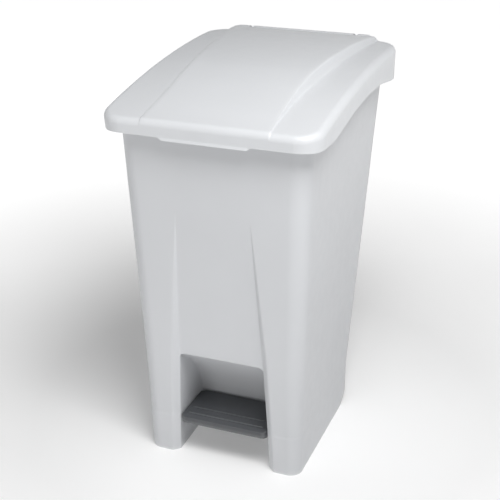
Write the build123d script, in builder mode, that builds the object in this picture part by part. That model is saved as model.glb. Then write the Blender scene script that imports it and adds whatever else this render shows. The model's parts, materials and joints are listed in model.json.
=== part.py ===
"""Pedal bin of about 60 litres: tapered tub on two front legs, hinged arched lid,
pedal lever under the tub, and a steel rod up the back that lifts the lid.

Millimetres. X runs across the bin, -Y is the pedal side, Z is up.
The origin is on the floor, below the middle of the lid.
"""
from build123d import *
from math import atan2, cos, radians, sin
import os

os.makedirs("parts", exist_ok=True)

# ---------------------------------------------------------------- driving dimensions

lid_width = 380
lid_depth = 490
wall = 3.0
gap = 0.05                      # radial clearance of a pin or sleeve that doesn't turn
running_gap = 0.1               # radial clearance of a pin that turns

# Tub: half width, front face, rear face and corner radius at three heights
foot_height = 0
kink_height = 78
rim_height = 646
tub_levels = [
    (foot_height, 146.0, -210.0, 89.0, 28.0),
    (kink_height, 148.0, -210.5, 90.0, 28.0),
    (rim_height, 167.9, -222.9, 221.0, 32.0),
]
floor_height = 95               # underside of the tub's floor
rim_flange = 6
rim_thickness = 4

# Front recess and alcove
gore_top = 490
gore_half = 67                  # half the distance between the gores' upper ends
panel_spread = 0.0435           # how much the sunk panel and the alcove widen downwards
alcove_top = 209
alcove_back = -103
alcove_sill = 70                # lower edge of the alcove's back wall
recess_depth = 10
leg_chamfer = 11.5

# Underside
keel_x = 86                     # middle of each lengthwise web
keel_bottom = 16
keel_front = -105
keel_rear = 95
outer_web_x = 131               # middle of the web on the far side of each wheel
channel_half = 20
channel_foot_y = 54             # front of the rod channel at the height channel_foot_z
channel_foot_z = 88
channel_slope = 0.243

# Pivots, as (y, z)
pedal_pivot = (-64.0, 40.0)
rod_pin_low = (68.5, 44.0)
lid_pivot = (232.0, 636.0)
rod_pin_radius = 28.0           # from the lid's pivot to the rod's upper hook
rod_pin_drop = 20.0             # degrees below level at rest
wheel_centre = (50.0, 26.5)

axle_radius = 4.0
bush_radius = 6.0
cap_radius = 7.0                # push-on caps on both axles
rod_radius = 2.5
hinge_x = 100.0
hinge_pin_radius = 4.0
knuckle_radius = 8.0
knuckle_width = 6.0
knuckle_gap = 0.5
ear_thickness = 12.0
rod_x = 8.0                     # the rod's long run
lug_x = -4.0                    # middle of the lid's lug and of the lever's rear arm
lug_thickness = 10.0
wheel_radius = 25.0
wheel_width = 20.0
wheel_x = 112.0

# Lid
front_corner = 40
rear_corner = 50
lid_edge = 12
flank_line = [(-247, 653.5), (17, 683), (247, 687.5)]       # an arc through three points
panel_line = [(-247, 634), (-233, 649), (-211, 661), (-181, 669), (-134, 678.5), (-80, 689), (-21, 697),
              (45, 699.6), (120, 699.4), (190, 696), (232, 691), (247, 680)]
panel_edge = [(-250, 110), (-233, 110), (-181, 108), (-134, 107), (-80, 108), (-21, 111), (45, 116),
              (120, 124), (190, 133), (250, 141)]
skirt_front = 629
skirt_line = [(-160, 624.5), (-92, 633), (-30, 640), (34, 643), (90, 641)]
skirt_rear = 624
step_slope = 0.5                # sideways run of the panel's step for each unit of height
lip_half = 80
rolled_lip_half = 92
rolled_lip_radius = 5
rolled_lip_centre = (232, 690)
notch_half = 5
window_low = 618                # openings in the rear skirt, round the hinge ears
window_high = 650


# ---------------------------------------------------------------- shared shapes

def tub_section(z):
    """Half width, front face, rear face and corner radius of the tub at height z."""
    low, high = tub_levels[:2] if z < kink_height else tub_levels[1:]
    share = (z - low[0]) / (high[0] - low[0])
    return [a + (b - a) * share for a, b in zip(low[1:], high[1:])]


def tub_form(inset, z_low, z_high):
    """Closed tapered form of the tub, its sides moved in by inset."""
    heights = [z_low, z_high]
    if z_low < kink_height < z_high:
        heights.insert(1, kink_height)
    with BuildPart() as form:
        for z in heights:
            half, front, rear, corner = tub_section(z)
            with BuildSketch(Plane.XY.offset(z)):
                with Locations((0, (front + rear) / 2)):
                    RectangleRounded(2 * (half - inset), rear - front - 2 * inset, corner - inset)
        loft(ruled=True)
    return form.part


def across(points, half):
    """Closed outline in the YZ plane, extruded to both sides of X = 0."""
    with BuildPart() as bar:
        with BuildSketch(Plane.YZ.offset(-half)):
            with BuildLine():
                Polyline(*points, close=True)
            make_face()
        extrude(amount=2 * half)
    return bar.part


def panel_half(z):
    """Half width of the sunk front panel, or of the alcove below it, at height z."""
    return gore_half + (gore_top - z) * panel_spread


def front_recess(grow):
    """Shallow wedge that sinks the front panel between the two gores and chamfers the legs."""
    low, high = -1, gore_top
    with BuildPart() as recess:
        for z, z_next in ((low, kink_height), (kink_height, alcove_top), (alcove_top, high)):
            for level in (z, z_next):
                share = min((gore_top - level) / (gore_top - alcove_top), 1.0)
                depth = recess_depth * share + 0.02
                inner = panel_half(level) + grow
                outer = inner + leg_chamfer * share + 0.02
                front = tub_section(level)[1]
                with BuildSketch(Plane.XY.offset(level)):
                    with BuildLine():
                        Polyline((-outer, front - 8), (outer, front - 8), (outer, front),
                                 (inner, front + depth + grow), (-inner, front + depth + grow),
                                 (-outer, front), close=True)
                    make_face()
            loft(ruled=True)
    return recess.part


def alcove(grow):
    """Foot space over the pedal, with its curved back wall."""
    lip_y = tub_section(alcove_top)[1] + recess_depth
    top = alcove_top + grow
    back = alcove_back + grow
    low = -2
    with BuildPart() as space:
        with BuildSketch(Plane.YZ.offset(-120)):
            with BuildLine():
                Polyline((lip_y, top), (lip_y - 50, top), (lip_y - 50, low), (back, low),
                         (back, alcove_sill))
                Bezier((back, alcove_sill), (back - 1, 110), (back - 32, 165), (lip_y, top))
            make_face()
        extrude(amount=240)
        with BuildSketch(Plane.XZ.offset(-300)) as face:
            with BuildLine():
                half_low, half_top = panel_half(low) + grow, panel_half(top) + grow
                Polyline((-half_low, low), (half_low, low), (half_top, top), (-half_top, top), close=True)
            make_face()
            fillet(face.vertices().group_by(Axis.Z)[-1], 9)
        extrude(amount=600, mode=Mode.INTERSECT)
    return space.part


def rod_channel(grow):
    """Open channel down the back of the tub, in which the lifting rod moves."""
    high = 660
    front_high = channel_foot_y + (high - channel_foot_z) * channel_slope
    return across([(channel_foot_y - grow, channel_foot_z), (front_high - grow, high), (320, high),
                   (320, channel_foot_z)], channel_half + grow)


def rear_wall_y(z):
    """Outer face of the tub's rear wall at height z."""
    return tub_section(z)[2]


def disc(radius, x_low, x_high, centre):
    """Round bar along X between two stations, about the point (y, z)."""
    with BuildPart() as bar:
        with BuildSketch(Plane.YZ.offset(x_low)):
            with Locations(centre):
                Circle(radius)
        extrude(amount=x_high - x_low)
    return bar.part


def turned(centre, point, angle):
    """Point (y, z) turned by angle, in degrees, about centre."""
    dy, dz = point[0] - centre[0], point[1] - centre[1]
    c, s = cos(radians(angle)), sin(radians(angle))
    return centre[0] + c * dy - s * dz, centre[1] + s * dy + c * dz


# ---------------------------------------------------------------- tub

wall_lean = atan2(tub_levels[2][3] - tub_levels[1][3], rim_height - kink_height)
wall_normal = (0, cos(wall_lean), -sin(wall_lean))
guide_heights = (205, 465)
guide_screw_x = 30.5
guide_thickness = 4
boss_radius = 5.5
screw_radius = 2.0


def wall_plane(z, out=0):
    """Plane on the tub's rear wall at height z, facing out."""
    y = rear_wall_y(z)
    origin = (0, y + out * wall_normal[1], z + out * wall_normal[2])
    return Plane(origin=origin, x_dir=(1, 0, 0), z_dir=wall_normal)


rim_half, rim_front, rim_rear, rim_corner = tub_section(rim_height)

with BuildPart() as bag_space:
    add(tub_form(wall, floor_height + wall, rim_height + 1))
    add(alcove(wall), mode=Mode.SUBTRACT)
    add(front_recess(wall), mode=Mode.SUBTRACT)
    add(rod_channel(wall), mode=Mode.SUBTRACT)

with BuildPart() as under_space:
    add(tub_form(wall, -1, floor_height))
    add(alcove(wall), mode=Mode.SUBTRACT)
    add(front_recess(wall), mode=Mode.SUBTRACT)
    # lengthwise webs that carry both axles
    for side in (-1, 1):
        with BuildSketch(Plane.XY.offset(keel_bottom)):
            with Locations((side * keel_x, (keel_front + keel_rear) / 2)):
                Rectangle(wall, keel_rear - keel_front)
        extrude(amount=floor_height, mode=Mode.SUBTRACT)
    # the way through below the alcove's back wall, for the lever
    add(across([(alcove_back - 30, -2), (alcove_back + 12, -2), (alcove_back + 12, alcove_sill),
                (alcove_back - 30, alcove_sill)], keel_x - wall / 2))

with BuildPart() as body_shell:
    add(tub_form(0, foot_height, rim_height))
    # outward flange round the rim
    with BuildSketch(Plane.XY.offset(rim_height - rim_thickness)):
        with Locations((0, (rim_front + rim_rear) / 2)):
            RectangleRounded(2 * (rim_half + rim_flange), rim_rear - rim_front + 2 * rim_flange,
                             rim_corner + rim_flange)
    extrude(amount=rim_thickness)
    # flange left out behind the hinges, where the lid's knuckles turn
    for side in (-1, 1):
        with Locations((side * hinge_x, rim_rear + 20, rim_height)):
            Box(34, 40 - 0.4, 20, mode=Mode.SUBTRACT)
    add(bag_space.part, mode=Mode.SUBTRACT)
    add(under_space.part, mode=Mode.SUBTRACT)
    add(alcove(0), mode=Mode.SUBTRACT)
    add(front_recess(0), mode=Mode.SUBTRACT)
    add(rod_channel(0), mode=Mode.SUBTRACT)
    # lower rear corner cut away, for tipping
    add(across([(36.45, -1), (95, 36.9), (120, 36.9), (120, -1)], 200), mode=Mode.SUBTRACT)
    # outer webs beside the wheels
    for side in (-1, 1):
        with BuildSketch(Plane.YZ.offset(side * outer_web_x - wall / 2)):
            with BuildLine():
                Polyline((22, floor_height + 1), (22, 22), (38, 14), (62, 22), (84, 36),
                         (84, floor_height + 1), close=True)
            make_face()
        extrude(amount=wall)
    # hinge ears behind the rim
    for side in (-1, 1):
        with BuildSketch(Plane.YZ.offset(side * hinge_x - ear_thickness / 2)):
            with BuildLine():
                Polyline((rear_wall_y(585) - 1, 585), (lid_pivot[0] + 5.5, lid_pivot[1] - 6),
                         (lid_pivot[0], lid_pivot[1] + 7.9), (rear_wall_y(645) - 1, 645), close=True)
            make_face()
            with Locations(lid_pivot):
                Circle(knuckle_radius)
        extrude(amount=ear_thickness)
    add(disc(hinge_pin_radius + running_gap, -140, 140, lid_pivot), mode=Mode.SUBTRACT)
    # bores for the pedal's axle bushes and for the wheels' axle
    add(disc(bush_radius + gap, -100, 100, pedal_pivot), mode=Mode.SUBTRACT)
    add(disc(axle_radius + gap, -138, 138, wheel_centre), mode=Mode.SUBTRACT)
    # bosses inside the rear wall for the guides' screws
    for z in guide_heights:
        with BuildSketch(wall_plane(z, -12)):
            with Locations((-guide_screw_x, 0), (guide_screw_x, 0)):
                Circle(boss_radius)
        extrude(amount=10)
        with BuildSketch(wall_plane(z, -9)):
            with Locations((-guide_screw_x, 0), (guide_screw_x, 0)):
                Circle(screw_radius + gap)
        extrude(amount=12, mode=Mode.SUBTRACT)
    # holes in the front flange for the buffers' stems
    with BuildSketch(Plane.XY.offset(rim_height - rim_thickness - 1)):
        with Locations((-100, rim_front - 2.5), (100, rim_front - 2.5)):
            Circle(1.5 + gap)
    extrude(amount=rim_thickness + 2, mode=Mode.SUBTRACT)
body_shell.part.label = "body_shell"
export_step(body_shell.part, "parts/body_shell.step")


# ---------------------------------------------------------------- lid

def under_line(points, drop, z_low, half):
    """Solid below an arc or a smooth line in the YZ plane that is lowered by drop."""
    lowered = [(y, z - drop) for y, z in points]
    line = ThreePointArc if len(points) == 3 else Spline
    with BuildPart() as block:
        with BuildSketch(Plane.YZ.offset(-half)):
            with BuildLine():
                line(*lowered)
                Polyline(lowered[-1], (lowered[-1][0], z_low), (lowered[0][0], z_low), lowered[0])
            make_face()
        extrude(amount=2 * half)
    return block.part


def height_on(line, y):
    """Height of a lid line at y, straight between its points."""
    for (y0, z0), (y1, z1) in zip(line, line[1:]):
        if y0 <= y <= y1:
            return z0 + (z1 - z0) * (y - y0) / (y1 - y0)
    return line[0][1] if y < line[0][0] else line[-1][1]


def panel_form(inset):
    """Raised centre panel: sloping sides that follow its curved edge, closed by its arched top."""
    with BuildPart() as panel:
        for z in (640, 704):
            right = []
            for y, half in panel_edge:
                crest = height_on(panel_line, min(max(y, -233), 232))
                right.append((half - inset + step_slope * (crest - z), y))
            left = [(-x, y) for x, y in right]
            with BuildSketch(Plane.XY.offset(z)):
                with BuildLine():
                    Spline(*right)
                    Line(right[-1], left[-1])
                    Spline(*reversed(left))
                    Line(left[0], right[0])
                make_face()
        loft(ruled=True)
        add(under_line(panel_line, inset, 630, 200), mode=Mode.INTERSECT)
    return panel.part


def lid_plan(inset, z_low):
    """Upright block on the lid's plan outline, moved in by inset."""
    with BuildPart() as block:
        with BuildSketch(Plane.XY.offset(z_low)) as plan:
            Rectangle(lid_width - 2 * inset, lid_depth - 2 * inset)
            fillet(plan.vertices().group_by(Axis.Y)[0], front_corner - inset)
            fillet(plan.vertices().group_by(Axis.Y)[-1], rear_corner - inset)
        extrude(amount=120)
    return block.part


def lid_form(inset, z_low):
    """Closed form of the lid, moved in by inset."""
    with BuildPart() as form:
        add(lid_plan(inset, z_low))
        add(under_line(flank_line, inset, z_low, 200), mode=Mode.INTERSECT)
        fillet(form.faces().sort_by(SortBy.AREA)[-1].edges(), lid_edge - inset)
        add(panel_form(inset))
        add(lid_plan(inset, z_low), mode=Mode.INTERSECT)
    return form.part


rod_pin_high = (lid_pivot[0] - rod_pin_radius * cos(radians(rod_pin_drop)),
                lid_pivot[1] - rod_pin_radius * sin(radians(rod_pin_drop)))
slot_half = rod_radius + 1.4
slot_near = 21.2                # nearest and farthest the hook comes to the lid's pivot
slot_far = 28.2
slot_play = 0.6

with BuildPart() as skirt_trim:
    with BuildSketch(Plane.YZ.offset(-200)):
        with BuildLine():
            Polyline((-250, skirt_front), (-200, skirt_front - 3), skirt_line[0])
            Spline(*skirt_line)
            Polyline(skirt_line[-1], (205, skirt_rear), (250, skirt_rear), (250, 560), (-250, 560),
                     (-250, skirt_front))
        make_face()
    extrude(amount=400)

with BuildPart() as lid_brackets:
    skirt_inside = lid_depth / 2 - wall + 0.5
    # knuckles on both sides of each hinge ear
    for side in (-1, 1):
        ear_side = ear_thickness / 2 + knuckle_gap
        for station in (hinge_x - ear_side - knuckle_width, hinge_x + ear_side):
            low = station if side > 0 else -station - knuckle_width
            with BuildSketch(Plane.YZ.offset(low)):
                with BuildLine():
                    Polyline((lid_pivot[0] - 7.9, lid_pivot[1]), (lid_pivot[0] - 7.9, 700),
                             (skirt_inside, 700), (skirt_inside, lid_pivot[1]), close=True)
                make_face()
                with Locations(lid_pivot):
                    Circle(knuckle_radius)
            extrude(amount=knuckle_width)
    # lug with the slot in which the rod's hook slides
    with BuildSketch(Plane.YZ.offset(lug_x - lug_thickness / 2)):
        lug_far = slot_far + slot_half + 6
        tip = turned(lid_pivot, (lid_pivot[0] - lug_far, lid_pivot[1]), rod_pin_drop)
        heel = turned(tip, (tip[0] + 14, tip[1]), rod_pin_drop - 75)
        with BuildLine():
            Polyline((tip[0], 700), tip, heel, (skirt_inside, lid_pivot[1] - 3), (skirt_inside, 700),
                     close=True)
        make_face()
    extrude(amount=lug_thickness)
    add(lid_form(wall - 0.5, 580), mode=Mode.INTERSECT)

with BuildPart() as lid_shell:
    add(lid_form(0, 590))
    add(lid_form(wall, 580), mode=Mode.SUBTRACT)
    add(skirt_trim.part, mode=Mode.SUBTRACT)
    # finger lip below the front edge
    with BuildSketch(Plane.XZ.offset(lid_depth / 2 - 4)):
        with BuildLine():
            Polyline((-lip_half, 634), (lip_half, 634), (lip_half, 630), (lip_half - 7, 624),
                     (2, 624), (0, 625), (-2, 624), (-lip_half + 7, 624), (-lip_half, 630), close=True)
        make_face()
    extrude(amount=4)
    # rolled lip along the rear edge, between the hinge notches
    add(disc(rolled_lip_radius, -rolled_lip_half, rolled_lip_half, rolled_lip_centre))
    add(lid_brackets.part)
    add(disc(hinge_pin_radius + gap, -140, 140, lid_pivot), mode=Mode.SUBTRACT)
    with BuildSketch(Plane.YZ.offset(lug_x - lug_thickness / 2 - 1)):
        middle = (slot_near + slot_far) / 2
        length = slot_far - slot_near + 2 * (slot_half + slot_play)
        centre = turned(lid_pivot, (lid_pivot[0] - middle, lid_pivot[1]), rod_pin_drop)
        with Locations(Location((centre[0], centre[1], 0), (0, 0, rod_pin_drop))):
            SlotOverall(length, 2 * slot_half)
    extrude(amount=lug_thickness + 2, mode=Mode.SUBTRACT)
    # notches in the rear edge, over the hinge ears
    for side in (-1, 1):
        with Locations((side * hinge_x, 224, 692)):
            Box(2 * notch_half, 20, 24, mode=Mode.SUBTRACT)
    # windows in the rear skirt, which leave room for the ears as the lid swings up
    for side in (-1, 1):
        with Locations((side * hinge_x, lid_depth / 2, (window_low + window_high) / 2)):
            Box(ear_thickness + 2 * knuckle_gap, 14, window_high - window_low, mode=Mode.SUBTRACT)
lid_shell.part.label = "lid_shell"
export_step(lid_shell.part, "parts/lid_shell.step")


# ---------------------------------------------------------------- pedal lever

pedal_half = 80
pedal_front = -206
pedal_rear = -107
pedal_top_front = 79
pedal_top_rear = 76
pedal_depth = 15
sleeve_radius = 9
sleeve_half = 66
arm_x = 63                      # middle of each side arm
arm_thickness = 6
rib_stations = (-183, -166)
rib_length = 146
rib_width = 3
rib_height = 1.4

with BuildPart() as pedal_lever:
    # foot plate
    with BuildSketch(Plane.XY.offset(pedal_top_rear - pedal_depth - 8)) as plate:
        with Locations((0, (pedal_front + pedal_rear) / 2)):
            RectangleRounded(2 * pedal_half, pedal_rear - pedal_front, 9)
    extrude(amount=60)
    add(across([(pedal_front - 1, pedal_top_front - pedal_depth), (pedal_front - 1, pedal_top_front - 7),
                (pedal_front + 8, pedal_top_front), (pedal_rear + 1, pedal_top_rear),
                (pedal_rear + 1, pedal_top_rear - pedal_depth)], 90), mode=Mode.INTERSECT)
    # hollow underneath
    with BuildSketch(Plane.XY.offset(pedal_top_rear - pedal_depth - 8)):
        with Locations((0, (pedal_front + pedal_rear) / 2)):
            RectangleRounded(2 * pedal_half - 6, pedal_rear - pedal_front - 6, 6)
    extrude(amount=pedal_depth + 4.5, mode=Mode.SUBTRACT)
    # two grip ribs
    for y in rib_stations:
        share = (y - pedal_front) / (pedal_rear - pedal_front)
        height = pedal_top_front + (pedal_top_rear - pedal_top_front) * share
        with BuildSketch(Plane.XY.offset(height - 1)):
            with Locations((0, y)):
                SlotOverall(rib_length, rib_width)
        extrude(amount=1 + rib_height)
    # side arms from the plate to the axle, and the sleeve round the axle
    for x in (-arm_x, arm_x):
        with BuildSketch(Plane.YZ.offset(x - arm_thickness / 2)):
            with BuildLine():
                Polyline((-195, 72), (-112, 70), (-108, 63), (-98, 61),
                         (pedal_pivot[0] + 3, pedal_pivot[1] + 8.5), (pedal_pivot[0], pedal_pivot[1] - 8.9),
                         (-112, 48), (-195, 66), close=True)
            make_face()
        extrude(amount=arm_thickness)
    add(disc(sleeve_radius, -sleeve_half, sleeve_half, pedal_pivot))
    # rear arm to the rod's lower hook
    with BuildSketch(Plane.YZ.offset(lug_x - lug_thickness / 2)):
        with BuildLine():
            Polyline((pedal_pivot[0], pedal_pivot[1] + 8.9), (rod_pin_low[0], rod_pin_low[1] + 6.9),
                     (rod_pin_low[0], rod_pin_low[1] - 6.9), (pedal_pivot[0], pedal_pivot[1] - 8.9),
                     close=True)
        make_face()
        with Locations(rod_pin_low):
            Circle(7)
    extrude(amount=lug_thickness)
    # web that stiffens the rear arm against the sleeve
    with BuildSketch(Plane.XY.offset(pedal_pivot[1] - 3)):
        with BuildLine():
            Polyline((-45, pedal_pivot[1] - 104), (30, pedal_pivot[1] - 104), (lug_x + 4, 20),
                     (lug_x - 4, 20), close=True)
        make_face()
    extrude(amount=5)
    add(disc(axle_radius + running_gap, -90, 90, pedal_pivot), mode=Mode.SUBTRACT)
    add(disc(rod_radius + running_gap, -30, 20, rod_pin_low), mode=Mode.SUBTRACT)
pedal_lever.part.label = "pedal_lever"
export_step(pedal_lever.part, "parts/pedal_lever.step")


# ---------------------------------------------------------------- pedal axle

pedal_axle_half = 97

with BuildPart() as pedal_axle:
    add(disc(axle_radius, -pedal_axle_half, pedal_axle_half, pedal_pivot))
pedal_axle.part.label = "pedal_axle"
export_step(pedal_axle.part, "parts/pedal_axle.step")

with BuildPart() as axle_bushes:
    for side in (-1, 1):
        inner, outer = keel_x - 6, keel_x + 5
        low, high = (inner, outer) if side > 0 else (-outer, -inner)
        flange_low = inner if side > 0 else -inner - 3
        add(disc(bush_radius, low, high, pedal_pivot))
        add(disc(9, flange_low, flange_low + 3, pedal_pivot))
    add(disc(axle_radius + gap, -100, 100, pedal_pivot), mode=Mode.SUBTRACT)
axle_bushes.part.label = "axle_bushes"
export_step(axle_bushes.part, "parts/axle_bushes.step")


def end_caps(centre, inner, outer):
    """Two push-on caps on the ends of an axle."""
    with BuildPart() as caps:
        for side in (-1, 1):
            low, high = (inner, outer) if side > 0 else (-outer, -inner)
            add(disc(cap_radius, low, high, centre))
            blind = (inner - 1, outer - 1.5) if side > 0 else (-outer + 1.5, -inner + 1)
            add(disc(axle_radius + gap, blind[0], blind[1], centre), mode=Mode.SUBTRACT)
            rim = caps.edges().filter_by(GeomType.CIRCLE).sort_by(Axis.X)
            fillet(rim[-1] if side > 0 else rim[0], 1)
    return caps.part


with BuildPart() as axle_clips:
    add(end_caps(pedal_pivot, keel_x + 5.2, keel_x + 13))
axle_clips.part.label = "axle_clips"
export_step(axle_clips.part, "parts/axle_clips.step")


# ---------------------------------------------------------------- lifting rod

hook_end = -15.0
hook_bend = 6

with BuildPart() as lifting_rod:
    with BuildLine() as route:
        FilletPolyline((hook_end, *rod_pin_low), (rod_x, *rod_pin_low), (rod_x, *rod_pin_high),
                       (hook_end, *rod_pin_high), radius=hook_bend)
    with BuildSketch(Plane(origin=(hook_end, *rod_pin_low), z_dir=(1, 0, 0))):
        Circle(rod_radius)
    sweep(path=route.line)
lifting_rod.part.label = "lifting_rod"
export_step(lifting_rod.part, "parts/lifting_rod.step")


def hook_cap(centre):
    """Push-on cap on the end of one of the rod's hooks."""
    with BuildPart() as cap:
        inner = lug_x - lug_thickness / 2 - 0.6
        add(disc(5, hook_end - 1.5, inner, centre))
        add(disc(rod_radius + gap, hook_end - 0.1, inner + 1, centre), mode=Mode.SUBTRACT)
        fillet(cap.edges().filter_by(GeomType.CIRCLE).sort_by(Axis.X)[0], 1)
    return cap.part


with BuildPart() as rod_lower_clip:
    add(hook_cap(rod_pin_low))
rod_lower_clip.part.label = "rod_lower_clip"
export_step(rod_lower_clip.part, "parts/rod_lower_clip.step")

with BuildPart() as rod_upper_clip:
    add(hook_cap(rod_pin_high))
rod_upper_clip.part.label = "rod_upper_clip"
export_step(rod_upper_clip.part, "parts/rod_upper_clip.step")


# ---------------------------------------------------------------- rod guides

def rod_guide(z):
    """Strap across the rod channel, with two prongs that keep the rod from moving sideways."""
    with BuildPart() as guide:
        with BuildSketch(wall_plane(z, 0.05)):
            SlotOverall(2 * guide_screw_x + 16, 14)
        extrude(amount=guide_thickness)
        with BuildSketch(wall_plane(z, 1)):
            with Locations((rod_x - 5.2, 0), (rod_x + 5.2, 0)):
                Rectangle(4, 12)
        extrude(amount=-25)
        with BuildSketch(wall_plane(z, 0)):
            with Locations((-guide_screw_x, 0), (guide_screw_x, 0)):
                Circle(screw_radius + 0.2)
        extrude(amount=10, mode=Mode.SUBTRACT)
        fillet(guide.faces().sort_by(Axis.Y)[-1].outer_wire().edges(), 1.2)
    return guide.part


with BuildPart() as rod_guide_lower:
    add(rod_guide(guide_heights[0]))
rod_guide_lower.part.label = "rod_guide_lower"
export_step(rod_guide_lower.part, "parts/rod_guide_lower.step")

with BuildPart() as rod_guide_upper:
    add(rod_guide(guide_heights[1]))
rod_guide_upper.part.label = "rod_guide_upper"
export_step(rod_guide_upper.part, "parts/rod_guide_upper.step")

with BuildPart() as guide_screws:
    for z in guide_heights:
        with BuildSketch(wall_plane(z, -8)):
            with Locations((-guide_screw_x, 0), (guide_screw_x, 0)):
                Circle(screw_radius)
        extrude(amount=8 + guide_thickness + 0.1)
        with BuildSketch(wall_plane(z, guide_thickness + 0.1)):
            with Locations((-guide_screw_x, 0), (guide_screw_x, 0)):
                Circle(4)
        extrude(amount=2.2, taper=18)
        with BuildSketch(wall_plane(z, guide_thickness + 1.2)):
            with Locations((-guide_screw_x, 0), (guide_screw_x, 0)):
                Rectangle(4.2, 1)
                Rectangle(1, 4.2)
        extrude(amount=3, mode=Mode.SUBTRACT)
guide_screws.part.label = "guide_screws"
export_step(guide_screws.part, "parts/guide_screws.step")


# ---------------------------------------------------------------- lid hinge pins

def hinge_pin(side):
    """Headed pin through one ear and its two knuckles."""
    inner, outer = hinge_x - 14.5, hinge_x + 12.8
    head = 3
    with BuildPart() as pin:
        low, high = (inner, outer) if side > 0 else (-outer, -inner)
        add(disc(hinge_pin_radius, low, high, lid_pivot))
        head_low = outer if side > 0 else -outer - head
        add(disc(6.5, head_low, head_low + head, lid_pivot))
        rim = pin.edges().filter_by(GeomType.CIRCLE).sort_by(Axis.X)
        fillet(rim[-1] if side > 0 else rim[0], 1.2)
    return pin.part


with BuildPart() as hinge_pin_left:
    add(hinge_pin(-1))
hinge_pin_left.part.label = "hinge_pin_left"
export_step(hinge_pin_left.part, "parts/hinge_pin_left.step")

with BuildPart() as hinge_pin_right:
    add(hinge_pin(1))
hinge_pin_right.part.label = "hinge_pin_right"
export_step(hinge_pin_right.part, "parts/hinge_pin_right.step")


# ---------------------------------------------------------------- lid buffers

buffer_top = 652.6

with BuildPart() as lid_buffers:
    spots = [(-100, rim_front - 2.5), (100, rim_front - 2.5)]
    with BuildSketch(Plane.XY.offset(rim_height + gap)):
        with Locations(*spots):
            Circle(3.4)
    extrude(amount=buffer_top - rim_height - gap)
    fillet(lid_buffers.edges().filter_by(GeomType.CIRCLE).group_by(Axis.Z)[-1], 1.5)
    with BuildSketch(Plane.XY.offset(rim_height - rim_thickness - 2)):
        with Locations(*spots):
            Circle(1.5)
    extrude(amount=rim_thickness + 3)
lid_buffers.part.label = "lid_buffers"
export_step(lid_buffers.part, "parts/lid_buffers.step")


# ---------------------------------------------------------------- wheels

tread_rounding = 2.5
dish_depth = 7
dish_radius = 20
hub_radius = 8
hole_circle = 14
hole_radius = 3.5
wheel_axle_half = 137
spacer_radius = 6.5


def wheel(side):
    """Rear wheel with a hub, a dished web with round holes, and a crowned tread."""
    low = side * wheel_x - wheel_width / 2
    with BuildPart() as turned_wheel:
        add(disc(wheel_radius, low, low + wheel_width, wheel_centre))
        fillet(turned_wheel.edges(), tread_rounding)
        for start in (low - 1, low + wheel_width - dish_depth):
            with BuildSketch(Plane.YZ.offset(start)):
                with Locations(wheel_centre):
                    Circle(dish_radius)
                    Circle(hub_radius, mode=Mode.SUBTRACT)
            extrude(amount=dish_depth + 1, mode=Mode.SUBTRACT)
        with BuildSketch(Plane.YZ.offset(low)):
            with Locations(wheel_centre):
                with PolarLocations(hole_circle, 6):
                    Circle(hole_radius)
        extrude(amount=wheel_width, mode=Mode.SUBTRACT)
        add(disc(axle_radius + running_gap, low - 1, low + wheel_width + 1, wheel_centre),
            mode=Mode.SUBTRACT)
    return turned_wheel.part


with BuildPart() as wheel_left:
    add(wheel(-1))
wheel_left.part.label = "wheel_left"
export_step(wheel_left.part, "parts/wheel_left.step")

with BuildPart() as wheel_right:
    add(wheel(1))
wheel_right.part.label = "wheel_right"
export_step(wheel_right.part, "parts/wheel_right.step")

with BuildPart() as wheel_axle:
    add(disc(axle_radius, -wheel_axle_half, wheel_axle_half, wheel_centre))
wheel_axle.part.label = "wheel_axle"
export_step(wheel_axle.part, "parts/wheel_axle.step")

with BuildPart() as wheel_spacers:
    play = 0.3
    wheel_side = wheel_width / 2 + play
    for low, high in ((keel_x + wall / 2 + play, wheel_x - wheel_side),
                      (wheel_x + wheel_side, outer_web_x - wall / 2 - play)):
        for station in ((low, high), (-high, -low)):
            add(disc(spacer_radius, station[0], station[1], wheel_centre))
    add(disc(axle_radius + gap, -140, 140, wheel_centre), mode=Mode.SUBTRACT)
wheel_spacers.part.label = "wheel_spacers"
export_step(wheel_spacers.part, "parts/wheel_spacers.step")

with BuildPart() as wheel_caps:
    web_face = outer_web_x + wall / 2
    add(end_caps(wheel_centre, web_face + 0.3, web_face + 7))
wheel_caps.part.label = "wheel_caps"
export_step(wheel_caps.part, "parts/wheel_caps.step")
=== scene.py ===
"""Looks of the pedal bin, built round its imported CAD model.

The tub, the lid and the pedal lever are rebuilt here as smooth shells with soft edges.
The small fittings keep their CAD shapes and get materials.
Lengths are in millimetres until a mesh is made, which scales them to metres.
"""
import json
import math

import bmesh
import bpy
import numpy as np
from mathutils import Matrix, Vector


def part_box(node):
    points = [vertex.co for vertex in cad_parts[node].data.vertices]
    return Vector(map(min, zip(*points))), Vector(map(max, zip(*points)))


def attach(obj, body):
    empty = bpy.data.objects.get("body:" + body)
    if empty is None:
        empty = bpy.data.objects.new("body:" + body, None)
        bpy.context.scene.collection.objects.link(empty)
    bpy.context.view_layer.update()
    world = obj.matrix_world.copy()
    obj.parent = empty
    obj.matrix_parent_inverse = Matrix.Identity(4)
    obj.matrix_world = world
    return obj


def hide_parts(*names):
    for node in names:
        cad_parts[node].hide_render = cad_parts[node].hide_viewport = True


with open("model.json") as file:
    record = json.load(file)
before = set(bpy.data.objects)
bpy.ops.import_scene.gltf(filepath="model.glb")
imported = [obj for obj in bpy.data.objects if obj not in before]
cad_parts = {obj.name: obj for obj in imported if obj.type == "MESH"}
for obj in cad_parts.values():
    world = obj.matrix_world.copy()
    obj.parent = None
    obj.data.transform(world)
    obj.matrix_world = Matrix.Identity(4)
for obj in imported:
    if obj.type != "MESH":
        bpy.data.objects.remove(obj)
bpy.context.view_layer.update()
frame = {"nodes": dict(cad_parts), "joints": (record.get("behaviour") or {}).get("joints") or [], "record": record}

MM = 0.001


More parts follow.
